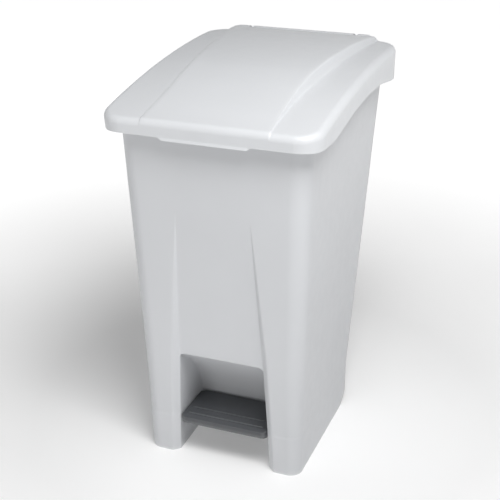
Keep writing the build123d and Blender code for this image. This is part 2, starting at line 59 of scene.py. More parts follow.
def box_mm(node):
    """Lowest and highest corners of a CAD node, in millimetres."""
    low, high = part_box(node)
    return np.array(low) / MM, np.array(high) / MM


def joint_mm(name):
    """Pivot of a joint, in millimetres."""
    for joint in frame["joints"]:
        if joint["name"] == name:
            return np.array(joint["pos_m"]) / MM
    raise KeyError(name)


# ---------------------------------------------------------------- curves and meshes

def smooth_line(points, softness=0.0, step=1.0):
    """Function of one value through the points, with no overshoot, softened over that distance."""
    x, y = np.array(points, float).T
    width, slope = np.diff(x), np.diff(y) / np.diff(x)
    inner = np.where(slope[:-1] * slope[1:] > 0,
                     2 * slope[:-1] * slope[1:] / (slope[:-1] + slope[1:] + 1e-12), 0)
    tangent = np.concatenate([[slope[0]], inner, [slope[-1]]])
    grid = np.arange(x[0], x[-1] + step, step).clip(x[0], x[-1])
    k = np.clip(np.searchsorted(x, grid, side="right") - 1, 0, len(width) - 1)
    t = (grid - x[k]) / width[k]
    value = ((1 + 2 * t) * (1 - t) ** 2 * y[k] + t * (1 - t) ** 2 * width[k] * tangent[k]
             + t * t * (3 - 2 * t) * y[k + 1] + t * t * (t - 1) * width[k] * tangent[k + 1])
    if softness:
        reach = int(3 * softness / step)
        weight = np.exp(-0.5 * (np.arange(-reach, reach + 1) * step / softness) ** 2)
        before = value[0] + tangent[0] * step * np.arange(-reach, 0)
        after = value[-1] + tangent[-1] * step * np.arange(1, reach + 1)
        value = np.convolve(np.concatenate([before, value, after]), weight / weight.sum(), "valid")
    return lambda q: np.interp(q, grid, value)


def arc_through(points):
    """Height along the circle through three points, as a function of y."""
    (y0, z0), (y1, z1), (y2, z2) = points
    rows = np.array([[y1 - y0, z1 - z0], [y2 - y0, z2 - z0]])
    sums = np.array([y1 ** 2 - y0 ** 2 + z1 ** 2 - z0 ** 2, y2 ** 2 - y0 ** 2 + z2 ** 2 - z0 ** 2]) / 2
    cy, cz = np.linalg.solve(rows, sums)
    radius = math.hypot(y0 - cy, z0 - cz)
    return lambda y: cz + np.sqrt(radius ** 2 - (y - cy) ** 2)


def corner_arc(before, corner, after, radius, steps):
    """Points of a round corner, whose radius shrinks where its sides are short."""
    a, c, b = np.array(before, float), np.array(corner, float), np.array(after, float)
    len_a, len_b = np.linalg.norm(a - c), np.linalg.norm(b - c)
    if min(len_a, len_b, radius) < 1e-6:
        return [c] * (steps + 1)
    u, v = (a - c) / len_a, (b - c) / len_b
    half = math.acos(np.clip(u @ v, -1, 1)) / 2
    reach = min(radius / max(math.tan(half), 1e-6), 0.47 * len_a, 0.47 * len_b)
    start, end, weight = c + u * reach, c + v * reach, math.sin(half)
    arc = []
    for k in range(steps + 1):
        t = k / steps
        p, q, r = (1 - t) ** 2, 2 * t * (1 - t) * weight, t * t
        arc.append((p * start + q * c + r * end) / (p + q + r))
    return arc


def rounded_path(points, radii, arc_steps, run_steps):
    """Open path with round corners and a fixed count of points on each arc and each run."""
    arcs = [[np.array(points[0], float)]]
    for k in range(1, len(points) - 1):
        arcs.append(corner_arc(points[k - 1], points[k], points[k + 1], radii[k - 1], arc_steps[k - 1]))
    arcs.append([np.array(points[-1], float)])
    path = list(arcs[0])
    for arc, runs in zip(arcs[1:], run_steps):
        start = path[-1]
        for j in range(1, runs):
            path.append(start + (arc[0] - start) * j / runs)
        path.extend(arc)
    return path


def new_mesh(name, verts, faces):
    """Mesh in metres from vertices in millimetres, with doubled and collapsed parts removed."""
    mesh = bpy.data.meshes.new(name)
    mesh.from_pydata([tuple(np.array(v) * MM) for v in verts], [], faces)
    work = bmesh.new()
    work.from_mesh(mesh)
    bmesh.ops.remove_doubles(work, verts=work.verts, dist=0.02 * MM)
    bmesh.ops.dissolve_degenerate(work, edges=work.edges, dist=0.01 * MM)
    work.to_mesh(mesh)
    work.free()
    return mesh


def piece(name, mesh):
    """Object for a mesh, linked to the scene."""
    obj = bpy.data.objects.new(name, mesh)
    bpy.context.scene.collection.objects.link(obj)
    return obj


def baked(obj):
    """Mesh of an object with its modifiers applied."""
    bpy.context.view_layer.update()
    source = obj.evaluated_get(bpy.context.evaluated_depsgraph_get())
    return bpy.data.meshes.new_from_object(source)


def bake(obj):
    """Applies an object's modifiers."""
    mesh = baked(obj)
    obj.modifiers.clear()
    obj.data = mesh


def merged(name, meshes):
    """One mesh that holds several."""
    work = bmesh.new()
    for mesh in meshes:
        work.from_mesh(mesh)
    result = bpy.data.meshes.new(name)
    work.to_mesh(result)
    work.free()
    return result


def shade(mesh, angle):
    """Smooth shading, with edges sharper than the angle kept crisp."""
    mesh.shade_smooth()
    mesh.set_sharp_from_angle(angle=math.radians(angle))


def face_outwards(mesh):
    """Turns the faces of a closed mesh outwards."""
    work = bmesh.new()
    work.from_mesh(mesh)
    bmesh.ops.recalc_face_normals(work, faces=work.faces)
    work.to_mesh(mesh)
    work.free()


def thicken(obj, clamp=0):
    """Gives a skin its wall, on the inside."""
    thick = obj.modifiers.new("wall", "SOLIDIFY")
    thick.thickness = wall * MM
    thick.offset = -1
    thick.use_even_offset = True
    thick.thickness_clamp = clamp
    bake(obj)


def mirrored_skin(name, half_verts, half_faces):
    """Mesh of a half skin at x >= 0 and its mirror image."""
    count = len(half_verts)
    verts = list(half_verts) + [(-v[0], v[1], v[2]) for v in half_verts]
    faces = list(half_faces) + [tuple(i + count for i in reversed(f)) for f in half_faces]
    return new_mesh(name, verts, faces)


def plate(name, outlines, low_x, high_x, bevel=0.5):
    """Plate across x between two stations. Its outlines, in y and z, are its edge and then its holes."""
    data = bpy.data.curves.new(name, "CURVE")
    data.dimensions = "2D"
    data.fill_mode = "BOTH"
    data.extrude = ((high_x - low_x) / 2 - bevel) * MM
    data.bevel_depth = bevel * MM
    data.bevel_resolution = 2
    data.offset = -bevel * MM
    for outline in outlines:
        spline = data.splines.new("POLY")
        spline.points.add(len(outline) - 1)
        for point, (y, z) in zip(spline.points, outline):
            point.co = (y * MM, z * MM, 0, 1)
        spline.use_cyclic_u = True
    obj = bpy.data.objects.new(name, data)
    bpy.context.scene.collection.objects.link(obj)
    mesh = baked(obj)
    bpy.data.objects.remove(obj)
    middle = (low_x + high_x) / 2 * MM
    mesh.transform(Matrix(((0, 0, 1, middle), (1, 0, 0, 0), (0, 1, 0, 0), (0, 0, 0, 1))))
    return mesh


def ring(centre, radius, start=0.0, end=360.0, count=32):
    """Points of an arc in y and z, in degrees from +y towards +z."""
    full = end - start >= 360
    angles = np.radians(np.linspace(start, end, count, endpoint=not full))
    return [(centre[0] + radius * math.cos(a), centre[1] + radius * math.sin(a)) for a in angles]


def closed_round(points, radius, steps=5):
    """Closed outline with each corner rounded."""
    outline = []
    for k, corner in enumerate(points):
        outline.extend(corner_arc(points[k - 1], corner, points[(k + 1) % len(points)], radius, steps))
    return outline


def lathe_x(name, profile, centre, count=48):
    """Turned part about an axis along x. The profile is a list of (x, radius), from axis to axis."""
    verts, faces = [], []
    for x, radius in profile:
        for k in range(count):
            a = 2 * math.pi * k / count
            verts.append((x, centre[0] + radius * math.cos(a), centre[1] + radius * math.sin(a)))
    for i in range(len(profile) - 1):
        for k in range(count):
            m = (k + 1) % count
            faces.append((i * count + k, (i + 1) * count + k, (i + 1) * count + m, i * count + m))
    return new_mesh(name, verts, faces)


# ---------------------------------------------------------------- dimensions

tub_low, tub_high = box_mm("body_shell")
lid_low, lid_high = box_mm("lid_shell")
pedal_low, pedal_high = box_mm("pedal_lever")
lid_pivot = joint_mm("lid_hinge")[1:]
pedal_pivot = joint_mm("pedal_pivot")[1:]
rod_pin = joint_mm("rod_pivot")[1:]
wheel_pivot = joint_mm("right_wheel_spin")[1:]

wall = 3.0
crisp_angle = 38.0              # edges sharper than this, in degrees, stay crisp
lug_x = (-9, 1)                 # the lid's lug and the lever's rear arm lie between these
rim_z = tub_high[2]
rim_out = 6.0
rim_thick = 4.0
rim_depth = 443.9
rim_half = tub_high[0] - rim_out
rim_front = tub_low[1] + rim_out
rim_rear = rim_front + rim_depth
kink_z = 78.0
kink_soft = 6.0
foot_band = 0.7                 # the foot below the kink stands out this much
# half width, front face, rear face and corner radius at the foot, the kink and the rim
foot_section = np.array([rim_half - 21.9, rim_front + 12.9, 89.0, 28.0])
kink_section = np.array([rim_half - 19.9, rim_front + 12.4, 90.0, 28.0])
rim_section = np.array([rim_half, rim_front, rim_rear, 32.0])

gore_top = 490.0
gore_half = 67.0
gore_spread = 0.0435
recess_depth = 10.0
leg_chamfer = 11.5
alcove_top = 209.0
alcove_back = -103.0
alcove_sill = 70.0
alcove_corner = 9.0
alcove_lip = 3.0
channel_half = 20.0
channel_foot = (54.0, 88.0)
channel_slope = 0.243
floor_z = 95.0
keel_x = 86.0
outer_web_x = 131.0
hinge_x = 100.0
ear_half = 6.0
ear_radius = 8.0
ear_root = (585, 645)           # heights between which the ear joins the rear wall
pin_bore = 4.1
guide_heights = (205, 465)
guide_screw_x = 30.5
boss_inset = 12                 # from the rear face to the inner end of a boss


# ---------------------------------------------------------------- tub

def tub_section(z):
    """Half width, front face, rear face and corner radius of the tub, with a soft kink."""
    low_slope = (kink_section - foot_section) / kink_z
    high_slope = (rim_section - kink_section) / (rim_z - kink_z)
    away = z - kink_z
    if abs(away) < kink_soft:
        share = (away + kink_soft) / (2 * kink_soft)
        bend = kink_section + low_slope * away
        bend = bend + (high_slope - low_slope) * kink_soft * share ** 2
    else:
        bend = kink_section + (low_slope if away < 0 else high_slope) * away
    band = foot_band * np.clip(0.5 - away / 5, 0, 1)
    return bend + np.array([band, -band, 0, 0])


def gore_share(z):
    """How much of its full depth the front recess has at height z."""
    return float(np.clip((gore_top - z) / (gore_top - alcove_top), 0, 1))


def back_wall_profile():
    """The panel's lower edge and the alcove's curved back wall, as (z, y) from the top down."""
    lip_y = tub_section(alcove_top)[1] + recess_depth
    ends = np.array([(lip_y, alcove_top), (alcove_back - 32, 165), (alcove_back - 1, 110),
                     (alcove_back, alcove_sill)])
    wall_line = []
    for k in range(33):
        t = k / 32
        weights = np.array([(1 - t) ** 3, 3 * t * (1 - t) ** 2, 3 * t * t * (1 - t), t ** 3])
        wall_line.append(weights @ ends)
    lip = corner_arc((lip_y, alcove_top + 20), ends[0], ends[1], alcove_lip, 7)
    return lip + [p for p in wall_line if p[1] < lip[-1][1] - 0.5]


back_wall = back_wall_profile()
back_wall_z = np.array([p[1] for p in back_wall])
back_wall_y = np.array([p[0] for p in back_wall])


def tub_half_loop(z):
    """Right half of the tub's outline at height z, from the middle of the front to the middle of the back."""
    half, front, rear, corner = tub_section(z)
    share = gore_share(z)
    inner = gore_half + (gore_top - z) * gore_spread
    outer = inner + leg_chamfer * share
    panel_y = front + recess_depth * share
    down = alcove_top - z
    inset = alcove_corner
    if down > 0:
        rest = max(alcove_corner - down, 0.0)
        inset = alcove_corner - math.sqrt(alcove_corner ** 2 - rest ** 2)
    alcove_y = panel_y
    if z < back_wall_z[0]:
        alcove_y = float(np.interp(z, back_wall_z[::-1], back_wall_y[::-1]))
    slide = 0.3 * float(np.clip(down / alcove_corner, 0, 1))
    side_x = inner - inset
    edge = (inner + slide * (outer - inner), panel_y - slide * (panel_y - front))
    above_sill = max(z - alcove_sill, 0.0)
    above_channel = max(z - channel_foot[1], 0.0)
    channel_y = channel_foot[0] + above_channel * channel_slope
    points = [(0, alcove_y), (side_x, alcove_y), (side_x, panel_y), edge, (outer, front), (half, front),
              (half, rear), (channel_half, rear), (channel_half, channel_y), (0, channel_y)]
    radii = [min(5, above_sill / 2), 3, 5, 9, corner, corner, min(1.5, above_channel / 4),
             min(4, above_channel / 4)]
    arc_steps = [5, 4, 4, 6, 12, 12, 3, 4]
    run_steps = [10, 8, 2, 3, 8, 14, 12, 8, 4]
    if z < channel_foot[1]:
        points[8:] = [(channel_half / 2, rear), (0, rear)]
        radii[6:] = [0, 0]
    return rounded_path(points, radii, arc_steps, run_steps), arc_steps, run_steps


def tub_rows():
    """Heights of the rows of the tub's mesh, from the floor up."""
    rows = [0, 4, 12, 24, 38, 52, 62, alcove_sill]
    rows += [kink_z + kink_soft * k / 4 for k in range(-4, 5)]
    rows += [channel_foot[1] - 0.01, channel_foot[1], 90, 93]
    rows += [z for z in back_wall_z if z > alcove_sill + 1]
    rows += [alcove_top - alcove_corner * (1 - math.cos(math.radians(a))) for a in range(0, 91, 10)]
    rows += [alcove_top + 4 + 8 * k for k in range(1, 36)]
    rows += [gore_top + 6 * k for k in range(0, 4)]
    rows += [gore_top + 30 + 14 * k for k in range(0, 8)]
    rows += [634, rim_z]
    rows = sorted(set(round(float(z), 2) for z in rows))
    return [z for k, z in enumerate(rows) if k == 0 or z - rows[k - 1] > 0.009]


def tub_skin():
    """Outer skin of the tub, with its rod channel and its alcove."""
    rows = tub_rows()
    loops = []
    for z in rows:
        loop, arc_steps, run_steps = tub_half_loop(z)
        loops.append([(p[0], p[1], z) for p in loop])
    width = len(loops[0])
    back_end = run_steps[0] + arc_steps[0] // 2
    channel_start = sum(run_steps[:7]) + sum(arc_steps[:6]) + arc_steps[6]
    verts = [v for loop in loops for v in loop]
    faces = []
    for i, z in enumerate(rows[:-1]):
        jump = abs(z - (channel_foot[1] - 0.01)) < 0.005
        for j in range(width - 1):
            if z < alcove_sill - 0.01 and j < back_end:
                continue
            if jump and j >= channel_start:
                continue
            a = i * width + j
            faces.append((a, a + 1, a + 1 + width, a + width))
    return mirrored_skin("tub_skin", verts, faces)


def inset_outline(loop, distance):
    """Outline moved inwards. The loop runs anticlockwise seen from above and closes on itself."""
    pts = np.array(loop)
    ahead, behind = np.roll(pts, -1, 0), np.roll(pts, 1, 0)
    run = ahead - behind
    run /= np.linalg.norm(run, axis=1)[:, None] + 1e-9
    inward = np.stack([-run[:, 1], run[:, 0]], 1)
    return pts + inward * distance


def full_loop(z):
    """Whole outline of the tub at height z, with no doubled points."""
    half = [tuple(p) for p in tub_half_loop(z)[0]]
    both = half + [(-x, y) for x, y in reversed(half)]
    loop = []
    for p in both:
        if not loop or math.dist(p, loop[-1]) > 0.3:
            loop.append(p)
    while math.dist(loop[0], loop[-1]) < 0.3:
        loop.pop()
    return loop


def slab(name, outline, low_z, high_z):
    """Flat slab between two heights with that outline in plan."""
    count = len(outline)
    verts = [(x, y, low_z) for x, y in outline] + [(x, y, high_z) for x, y in outline]
    faces = [tuple(reversed(range(count))), tuple(range(count, 2 * count))]
    for k in range(count):
        m = (k + 1) % count
        faces.append((k, m, m + count, k + count))
    return new_mesh(name, verts, faces)


def swept_bar(name, path, outward, profile):
    """Bar whose section, a list of (out, z), follows a path in plan. Its ends are closed."""
    count = len(profile)
    verts, faces = [], []
    for (x, y), (nx, ny) in zip(path, outward):
        verts += [(x + nx * out, y + ny * out, z) for out, z in profile]
    for i in range(len(path) - 1):
        for k in range(count):
            m = (k + 1) % count
            faces.append((i * count + k, (i + 1) * count + k, (i + 1) * count + m, i * count + m))
    faces.append(tuple(range(count)))
    faces.append(tuple(reversed(range((len(path) - 1) * count, len(path) * count))))
    mesh = new_mesh(name, verts, faces)
    face_outwards(mesh)
    return mesh


def rim_flange():
    """Flange round the rim, left out over the rod channel and behind the hinges."""
    half, front, rear, corner = tub_section(rim_z)
    path = rounded_path([(0, front), (half, front), (half, rear), (channel_half, rear)],
                        [corner, corner], [14, 14], [10, 20, 24])
    right = [tuple(p) for p in path]
    low = rim_z - rim_thick
    profile_xy = [(-1.5, low), (rim_out - 0.8, low), (rim_out, low + 0.8),
                  (rim_out, rim_z - 1), (rim_out - 1, rim_z), (-1.5, rim_z)]
    meshes = []
    gap_low, gap_high = hinge_x - 17, hinge_x + 17
    for side in (1, -1):
        front_run = [p for p in right if not (p[1] > rear - 0.01 and p[0] < gap_high)]
        front_run.append((gap_high, rear))
        rear_run = [(gap_low, rear), (60, rear), (40, rear), (channel_half, rear)]
        for run in (front_run, rear_run):
            run = [(side * x, y) for x, y in run]
            outward = []
            for k, p in enumerate(run):
                a, b = run[max(k - 1, 0)], run[min(k + 1, len(run) - 1)]
                d = np.array(b) - np.array(a)
                d /= np.linalg.norm(d)
                outward.append((d[1] * side, -d[0] * side))
            meshes.append(swept_bar("rim_flange", run, outward, profile_xy))
    return meshes


def hinge_ear(side):
    """Ear behind the rim that carries one of the lid's hinge pins."""
    low, high = [(float(tub_section(z)[2]) - 1, z) for z in ear_root]
    outline = [low, (lid_pivot[0] + 5.5, lid_pivot[1] - 6)]
    outline += ring(lid_pivot, ear_radius, -40, 100, 14)
    outline += [high]
    bore = ring(lid_pivot, pin_bore, count=24)
    return plate("ear", [outline, bore], side * hinge_x - ear_half, side * hinge_x + ear_half, 0.8)


def web_plates():
    """Lengthwise webs under the floor, which carry both axles."""
    meshes = []
    for side in (-1, 1):
        keel = closed_round([(-105, 16), (54, 16), (87.5, 38), (88, kink_z), (92.5, floor_z + 1),
                             (-105, floor_z + 1)], 3)
        holes = [ring(pedal_pivot, 6.05, count=24), ring(wheel_pivot, 4.05, count=24)]
        x = side * keel_x
        meshes.append(plate("keel", [keel] + holes, x - wall / 2, x + wall / 2, 0.4))
        web = closed_round([(22, floor_z + 1), (22, 22), (38, 14), (62, 22), (84, 36), (84, floor_z + 1)], 3)
        x = side * outer_web_x
        meshes.append(plate("outer_web", [web, holes[1]], x - wall / 2, x + wall / 2, 0.4))
    return meshes


def guide_bosses():
    """Bosses inside the rear wall for the screws of the rod guides."""
    meshes = []
    lean = math.atan2(rim_section[2] - kink_section[2], rim_z - kink_z)
    for z in guide_heights:
        for side in (-1, 1):
            profile = [(0, 0), (0, 4.9), (0.6, 5.5), (9.5, 5.5), (9.5, 0)]
            mesh = lathe_x("boss", profile, (0, 0), 32)
            inner_end = (side * guide_screw_x, tub_section(z)[2] - boss_inset * math.cos(lean),
                         z + boss_inset * math.sin(lean))
            place = Matrix.Translation(Vector(inner_end) * MM)
            turn = Matrix.Rotation(math.radians(90), 4, "Z")
            mesh.transform(place @ Matrix.Rotation(-lean, 4, "X") @ turn)
            meshes.append(mesh)
    return meshes


def build_tub():
    """The whole tub as one piece."""
    skin = piece("tub", tub_skin())
    work = bmesh.new()
    work.from_mesh(skin.data)
    corner = Vector((0, 38, 0)) * MM
    bmesh.ops.bisect_plane(work, geom=work.verts[:] + work.edges[:] + work.faces[:],
                           plane_co=corner, plane_no=Vector((0, 0.544, -0.84)), clear_outer=True)
    work.to_mesh(skin.data)
    work.free()
    thicken(skin, clamp=1)
    # a known fault: this outline crosses itself beside the rod channel, and the plate also covers the
    # channel's foot, which the CAD leaves open for the rod
    floor_outline = inset_outline(full_loop(floor_z + 1.5), 1.6)
    parts = [skin.data, slab("floor", floor_outline, floor_z, floor_z + wall)]
    parts += rim_flange() + web_plates() + guide_bosses() + [hinge_ear(-1), hinge_ear(1)]
    skin.data = merged("tub", parts)
    shade(skin.data, crisp_angle)
    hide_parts("body_shell")
    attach(skin, "bin_body")
    return skin


# ---------------------------------------------------------------- lid

lid_half = lid_high[0]
lid_front, lid_rear = lid_low[1], lid_high[1]
edge_round = 12.0
front_corner, rear_corner = 40.0, 50.0
flank = arc_through([(-247, 653.5), (0, 684), (247, 682)])
panel = smooth_line([(-247, 655), (-233, 657.5), (-211, 662), (-181, 669), (-134, 678.5), (-80, 689),
                     (-21, 696.8), (45, 699.6), (120, 699.4), (190, 696), (232, 691), (247, 688)], 4)
panel_half = smooth_line([(-250, 110), (-233, 110), (-181, 108), (-134, 107), (-80, 108), (-21, 111),
                          (45, 116), (120, 124), (190, 133), (250, 141)], 8)
skirt_low = smooth_line([(-250, 629), (-200, 626), (-160, 624.5), (-92, 633), (-30, 640), (34, 643),
                         (90, 641), (205, 624.2), (250, 624)], 3)
lip_half = 80.0
lip_chamfer = 7.0
lip_drop = 4.6
skirt_draft = 1.1
ridge_y, ridge_width, ridge_height = 235.5, 8.5, 2.6
ridge_end = 128.0
notch_x = 104.0
window_half, window_low, window_high = 6.5, 618, 650
knuckle_radius, knuckle_width = 7.9, 6
slot_drop = 20                  # degrees by which the lug's slot falls away from level
slot_middle, slot_reach, slot_half = 24.7, 4.1, 3.9


def rounded_step(t, start=0.28, finish=0.28):
    """Ramp from 0 to 1, rounded over the given shares at its start and finish."""
    t = np.clip(t, 0, 1)
    slope = 1 / (1 - start / 2 - finish / 2)
    rise = slope * t ** 2 / (2 * start)
    level = slope * (t - start / 2)
    fall = 1 - slope * (1 - t) ** 2 / (2 * finish)
    return np.where(t < start, rise, np.where(t > 1 - finish, fall, level))


def step_height(y):
    """How far the centre panel stands above the flanks."""
    rise = panel(y) - flank(y)
    return (rise + np.sqrt(rise ** 2 + 1.5)) / 2


def step_run(y):
    """Sideways run of the panel's sloping edge."""
    return 0.8 * step_height(y) + 1.5


def lid_height(x, y):
    """Height of the lid's top, before its edge is rounded."""
    share = 1 - rounded_step((abs(x) - panel_half(y)) / step_run(y), 0.2, 0.5)
    ridge = ridge_height * np.exp(-((y - ridge_y) / ridge_width) ** 4)
    ridge = ridge * (1 - rounded_step((abs(x) - ridge_end) / 5))
    return float(flank(y) + step_height(y) * share + ridge)


def inset_half(y):
    """Half width at y of the lid's outline moved in by the edge's rounding."""
    side = lid_half - edge_round
    r = front_corner - edge_round
    front_y = lid_front + front_corner
    if y < front_y:
        return side - r + math.sqrt(max(r ** 2 - (front_y - y) ** 2, 0))
    r = rear_corner - edge_round
    rear_y = lid_rear - rear_corner
    if y > rear_y:
        return side - r + math.sqrt(max(r ** 2 - (y - rear_y) ** 2, 0))
    return side


def lid_rows():
    """Stations along y of the lid's rows."""
    first, last = lid_front + edge_round, lid_rear - edge_round
    front_r, rear_r = front_corner - edge_round, rear_corner - edge_round
    rows = [first + front_r * (1 - math.cos(math.radians(a))) for a in range(0, 91, 9)]
    rows += list(np.arange(first + 3, first + 28, 2.5))
    rows += list(np.arange(first + front_r + 5, last - rear_r, 7.0))
    rows += [last - rear_r * (1 - math.sin(math.radians(a))) for a in range(0, 91, 9)]
    rows += list(np.arange(ridge_y - 9, last, 1.1))
    rows = sorted(rows)
    kept = [rows[0]]
    for y in rows[1:]:
        if y - kept[-1] > 0.35:
            kept.append(y)
    kept[-1] = last
    return kept


def lid_columns(y):
    """Stations across x of one row, from the middle to the edge, following the panel's edge."""
    limit = inset_half(y)
    run = step_run(y)
    half = min(float(panel_half(y)), limit - run - 3)
    front_half = float(panel_half(lid_front + edge_round))
    marks = [0, 2.5, 5, 15, 27, 39, 50, 62, lip_half - lip_chamfer, lip_half, 88, 96, 103]
    inner = [m / front_half * half for m in marks]
    ramp = [half + run * k / 9 for k in range(10)]
    side = [half + run + (limit - half - run) * rounded_step(k / 11, 0.45, 0.45) for k in range(1, 12)]
    return inner + ramp + [float(s) for s in side]


def lid_skin():
    """Outer skin of the lid: top, rounded edge, skirt and finger lip."""
    rows = lid_rows()
    verts, faces = [], []
    for y in rows:
        verts += [(x, y, lid_height(x, y)) for x in lid_columns(y)]
    width = len(lid_columns(0))
    last = len(rows) - 1
    for i in range(last):
        for j in range(width - 1):
            a = i * width + j
            faces.append((a, a + 1, a + 1 + width, a + width))
    edge = [(j, (0, -1)) for j in range(width)]
    front_y, rear_y = lid_front + front_corner, lid_rear - rear_corner
    for i in range(1, last):
        x, y, _ = verts[i * width + width - 1]
        if y < front_y:
            away = Vector((x - (lid_half - front_corner), y - front_y)).normalized()
        elif y > rear_y:
            away = Vector((x - (lid_half - rear_corner), y - rear_y)).normalized()
        else:
            away = Vector((1, 0))
        edge.append((i * width + width - 1, tuple(away)))
    edge += [(last * width + j, (0, 1)) for j in range(width - 1, -1, -1)]
    previous = [index for index, _ in edge]
    rings = []
    for a in range(1, 10):
        angle = math.radians(10 * a)
        rings.append(("round", edge_round * math.sin(angle), edge_round * (1 - math.cos(angle))))
    rings += [("skirt", share, 0) for share in (0.12, 0.35, 0.6, 0.85, 1)]
    rings += [("lip", share, 0) for share in (0.15, 0.5, 0.85, 1)]
    for kind, first, second in rings:
        current = []
        for index, (nx, ny) in edge:
            x, y, z = verts[index]
            edge_x, edge_y = x + nx * edge_round, y + ny * edge_round
            top = z - edge_round
            low = float(skirt_low(edge_y))
            if kind == "round":
                point = (x + nx * first, y + ny * first, z - second)
            elif kind == "skirt":
                back = skirt_draft * first
                point = (edge_x - nx * back, edge_y - ny * back, top + (low - top) * first)
            else:
                span = np.clip((lip_half - abs(x)) / lip_chamfer, 0, 1) if ny < -0.999 else 0
                dip = 0.7 if abs(x) < 1 else 0
                back = skirt_draft * (1 - first * span)
                point = (edge_x - nx * back, edge_y - ny * back, low - (lip_drop - dip) * span * first)
            current.append(len(verts))
            verts.append(point)
        for k in range(len(edge) - 1):
            faces.append((previous[k], current[k], current[k + 1], previous[k + 1]))
        previous = current
    return mirrored_skin("lid_skin", verts, faces)


def block(name, low, high, bevel):
    """Box with rounded edges, for cutting."""
    work = bmesh.new()
    bmesh.ops.create_cube(work, size=1)
    size, middle = np.array(high) - np.array(low), (np.array(high) + np.array(low)) / 2
    for v in work.verts:
        v.co = Vector([(c * s + m) * MM for c, s, m in zip(v.co, size, middle)])
    bmesh.ops.bevel(work, geom=work.edges[:], offset=bevel * MM, segments=3, affect="EDGES", profile=0.5)
    mesh = bpy.data.meshes.new(name)
    work.to_mesh(mesh)
    work.free()
    return mesh


def notch(side):
    """V-shaped cutter for the notch beside the ridge at the lid's rear edge."""
    x = side * notch_x
    verts = []
    for y in (ridge_y - 9, lid_rear + 2):
        verts += [(x - 6, y, 700), (x + 6, y, 700), (x + 1.2, y, 684.5), (x - 1.2, y, 684.5)]
    faces = [(0, 1, 2, 3), (7, 6, 5, 4), (0, 4, 5, 1), (1, 5, 6, 2), (2, 6, 7, 3), (3, 7, 4, 0)]
    mesh = new_mesh("notch", verts, faces)
    face_outwards(mesh)
    return mesh


def lid_fittings():
    """Knuckles on both sides of each ear, and the lug that the rod's hook slides in."""
    meshes = []
    rear_in = lid_rear - wall + 0.5
    for side in (-1, 1):
        for station in (hinge_x - ear_half - knuckle_width - 0.5, hinge_x + ear_half + 0.5):
            low = station if side > 0 else -station - knuckle_width
            outline = ring(lid_pivot, knuckle_radius, 180, 360, 14)
            outline += [(rear_in, lid_pivot[1]), (rear_in, 675), (rear_in - 6, 684),
                        (lid_pivot[0] - knuckle_radius, 686)]
            bore = ring(lid_pivot, 4.05, count=24)
            meshes.append(plate("knuckle", [outline, bore], low, low + knuckle_width, 0.6))
    drop = math.radians(slot_drop)
    along = np.array([-math.cos(drop), -math.sin(drop)])
    middle = lid_pivot + along * slot_middle
    slot = []
    for end, turn in ((1, 0), (-1, 180)):
        centre = middle + along * slot_reach * end
        heading = math.degrees(math.atan2(along[1], along[0])) + turn
        slot += ring(centre, slot_half, heading - 90, heading + 90, 10)
    lug = closed_round([(196.2, 686), (196.2, 623), (204.2, 611.5), (242.5, 633), (242.5, 675),
                        (236, 684)], 3)
    meshes.append(plate("lug", [lug, slot], *lug_x, 0.6))
    return meshes


def build_lid():
    """The whole lid as one piece."""
    lid = piece("lid", lid_skin())
    thicken(lid, clamp=1)
    windows = [block("window", (side * hinge_x - window_half, lid_rear - 7, window_low),
                     (side * hinge_x + window_half, lid_rear + 5, window_high), 1.5) for side in (-1, 1)]
    cutter = piece("cutter", merged("cutter", windows + [notch(-1), notch(1)]))
    cut = lid.modifiers.new("notches", "BOOLEAN")
    cut.operation = "DIFFERENCE"
    cut.object = cutter
    cut.solver = "EXACT"
    bake(lid)
    bpy.data.objects.remove(cutter)
    lid.data = merged("lid", [lid.data] + lid_fittings())
    shade(lid.data, crisp_angle)
    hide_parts("lid_shell")
    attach(lid, "lid")
    return lid


# ---------------------------------------------------------------- pedal lever

plate_rear, plate_z = -107.0, 79.0
plate_side = 3.0                # the foot plate's side faces lie this far outside the CAD lever's
plate_corner = 9
rib_lines = ((-192.0, 73.0), (-171.5, 72.0))    # y and half length of each grip rib
arm_x = 63
axle_bore = 4.1


def pedal_top(y):
    """Height of the foot plate's upper face, with its sloping front border."""
    front, rear = pedal_low[1], plate_rear
    slope = plate_z - 3 * (y - front) / (rear - front)
    border = plate_z + 0.3 - 3.6 * (1 - (y - front) / 12)
    blend = (slope - border) / 0.4
    return slope if blend < -4 else slope - 0.4 * math.log(1 + math.exp(min(blend, 30)))


